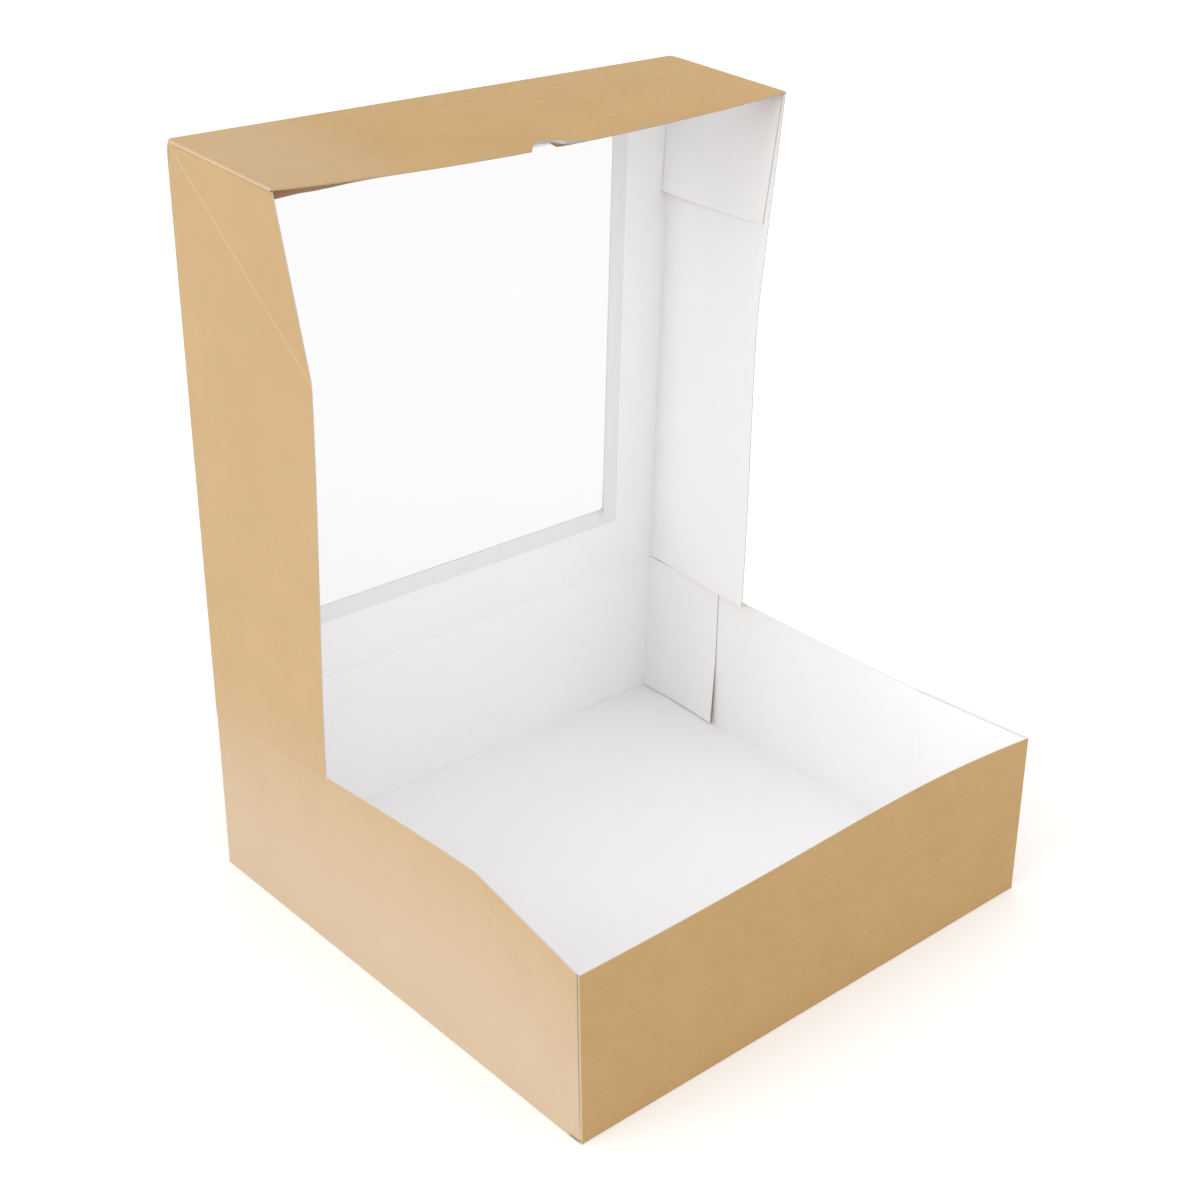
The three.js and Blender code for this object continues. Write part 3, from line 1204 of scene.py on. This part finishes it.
def make_floor():
    """A wide sheet of pale paper just under the box, which keeps the box's shadow."""
    colours = bpy.context.scene.pastry_box_colours
    bm = bmesh.new()
    reach = 6.0
    floor_height = -0.2 * MM
    ends = [-reach, reach]
    add_panel(bm, ends, ends, lambda x, y: (x, y, floor_height), (0, 0, 1))
    mesh = bpy.data.meshes.new("floor")
    bm.to_mesh(mesh)
    bm.free()
    floor = bpy.data.objects.new("floor", mesh)
    bpy.context.scene.collection.objects.link(floor)
    material, tree = new_material("seamless_paper_matt")
    paint = node(
        tree,
        "ShaderNodeBsdfPrincipled",
        {"Base Color": opaque(colours.floor), "Roughness": 0.9, "Specular IOR Level": 0.1},
    )
    lift = node(
        tree,
        "ShaderNodeMath",
        {1: colours.floor_lift},
        {0: seen_directly(tree)},
        operation="MULTIPLY",
    )
    glow = node(
        tree,
        "ShaderNodeEmission",
        {"Color": (1, 1, 1, 1)},
        {"Strength": lift.outputs["Value"]},
    )
    both = node(
        tree,
        "ShaderNodeAddShader",
        links={0: paint.outputs["BSDF"], 1: glow.outputs["Emission"]},
    )
    node(tree, "ShaderNodeOutputMaterial", links={"Surface": both.outputs["Shader"]})
    mesh.materials.append(material)


def make_world():
    """A white studio, which shows pure white and lights the box evenly."""
    world = bpy.data.worlds.new("studio")
    world.use_nodes = True
    tree = world.node_tree
    tree.nodes.clear()
    light = node(tree, "ShaderNodeBackground", {"Color": (1, 1, 1, 1), "Strength": 1.0})
    node(tree, "ShaderNodeOutputWorld", links={"Surface": light.outputs["Background"]})
    bpy.context.scene.world = world


# Large soft lights: name, the direction it comes from, strength and width in degrees
LIGHTS = (
    ("left_light", (-0.90, 0.15, 0.40), 0.86, 45),
    ("front_light", (0.0, -0.87, 0.50), 0.13, 60),
)


def make_lights():
    """Soft lights: one from the left, a little behind the box, and a weaker one from the front."""
    for name, towards, strength, width in LIGHTS:
        lamp = bpy.data.lights.new(name, "SUN")
        lamp.energy = strength
        lamp.angle = math.radians(width)
        light = bpy.data.objects.new(name, lamp)
        bpy.context.scene.collection.objects.link(light)
        light.rotation_mode = "QUATERNION"
        light.rotation_quaternion = Vector(towards).to_track_quat("Z", "Y")


def make_camera():
    """A long lens, high on the front left corner of the box."""
    place = (-0.56986, -0.59888, 0.57404)
    azimuth, elevation, roll = (math.radians(a) for a in (-41.56, 29.33, 1.056))
    back = Vector(
        (
            math.sin(azimuth) * math.cos(elevation),
            -math.cos(azimuth) * math.cos(elevation),
            math.sin(elevation),
        )
    )
    right = Vector((0, 0, 1)).cross(back).normalized()
    up = back.cross(right)
    turned_right = right * math.cos(roll) + up * math.sin(roll)
    turned_up = up * math.cos(roll) - right * math.sin(roll)
    data = bpy.data.cameras.new("camera")
    data.lens = 57.44
    data.sensor_width = 36
    data.shift_x = 0.0281
    data.shift_y = 0.0748
    data.clip_start = 0.05
    data.clip_end = 50
    camera = bpy.data.objects.new("camera", data)
    bpy.context.scene.collection.objects.link(camera)
    axes = Matrix((turned_right, turned_up, back)).transposed()
    camera.matrix_world = Matrix.Translation(place) @ axes.to_4x4()
    bpy.context.scene.camera = camera


# Operators


class PASTRYBOX_OT_tray(bpy.types.Operator):
    """Fold the tray with its walls and glue tabs"""

    bl_idname = "pastry_box.tray"
    bl_label = "Tray"

    def execute(self, context):
        make_tray()
        return {"FINISHED"}


class PASTRYBOX_OT_hinge(bpy.types.Operator):
    """Make the board at the lid's crease"""

    bl_idname = "pastry_box.hinge"
    bl_label = "Hinge crease"

    def execute(self, context):
        make_hinge()
        return {"FINISHED"}


class PASTRYBOX_OT_lid_panel(bpy.types.Operator):
    """Make the lid's panel with its window opening"""

    bl_idname = "pastry_box.lid_panel"
    bl_label = "Lid panel"

    def execute(self, context):
        make_lid_panel()
        return {"FINISHED"}


class PASTRYBOX_OT_lid_flanges(bpy.types.Operator):
    """Make the lid's two side flanges"""

    bl_idname = "pastry_box.lid_flanges"
    bl_label = "Lid flanges"

    def execute(self, context):
        make_flanges()
        return {"FINISHED"}


class PASTRYBOX_OT_lid_tabs(bpy.types.Operator):
    """Make the front flap's two glue tabs"""

    bl_idname = "pastry_box.lid_tabs"
    bl_label = "Lid glue tabs"

    def execute(self, context):
        make_lid_tabs()
        return {"FINISHED"}


class PASTRYBOX_OT_lid_flap(bpy.types.Operator):
    """Make the lid's front flap, its thumb notch and its folded lip"""

    bl_idname = "pastry_box.lid_flap"
    bl_label = "Lid flap"

    def execute(self, context):
        make_flap()
        return {"FINISHED"}


class PASTRYBOX_OT_window_film(bpy.types.Operator):
    """Glue the clear film over the window"""

    bl_idname = "pastry_box.window_film"
    bl_label = "Window film"

    def execute(self, context):
        make_film()
        return {"FINISHED"}


class PASTRYBOX_OT_stage(bpy.types.Operator):
    """Make the floor, the studio light and the camera"""

    bl_idname = "pastry_box.stage"
    bl_label = "Stage"

    def execute(self, context):
        make_floor()
        make_world()
        make_lights()
        make_camera()
        context.scene.view_settings.view_transform = "Standard"
        return {"FINISHED"}


PIECES = (
    PASTRYBOX_OT_tray,
    PASTRYBOX_OT_hinge,
    PASTRYBOX_OT_lid_panel,
    PASTRYBOX_OT_lid_flanges,
    PASTRYBOX_OT_lid_tabs,
    PASTRYBOX_OT_lid_flap,
    PASTRYBOX_OT_window_film,
    PASTRYBOX_OT_stage,
)


class PASTRYBOX_PT_panel(bpy.types.Panel):
    """Sizes, colours and pieces of the pastry box"""

    bl_label = "Pastry Box"
    bl_idname = "PASTRYBOX_PT_panel"
    bl_space_type = "VIEW_3D"
    bl_region_type = "UI"
    bl_category = "Pastry Box"

    def draw(self, context):
        layout = self.layout
        for group in (context.scene.pastry_box_sizes, context.scene.pastry_box_colours):
            column = layout.column(align=True)
            for name in group.__annotations__:
                column.prop(group, name)
        for piece in PIECES:
            layout.operator(piece.bl_idname)


CLASSES = (PastryBoxSizes, PastryBoxColours, *PIECES, PASTRYBOX_PT_panel)


def register():
    for cls in CLASSES:
        bpy.utils.register_class(cls)
    bpy.types.Scene.pastry_box_sizes = bpy.props.PointerProperty(type=PastryBoxSizes)
    bpy.types.Scene.pastry_box_colours = bpy.props.PointerProperty(type=PastryBoxColours)


def unregister():
    del bpy.types.Scene.pastry_box_colours
    del bpy.types.Scene.pastry_box_sizes
    for cls in reversed(CLASSES):
        bpy.utils.unregister_class(cls)


def main():
    register()
    bpy.ops.pastry_box.tray()
    bpy.ops.pastry_box.hinge()
    bpy.ops.pastry_box.lid_panel()
    bpy.ops.pastry_box.lid_flanges()
    bpy.ops.pastry_box.lid_tabs()
    bpy.ops.pastry_box.lid_flap()
    bpy.ops.pastry_box.window_film()
    bpy.ops.pastry_box.stage()


if __name__ == "__main__":
    main()
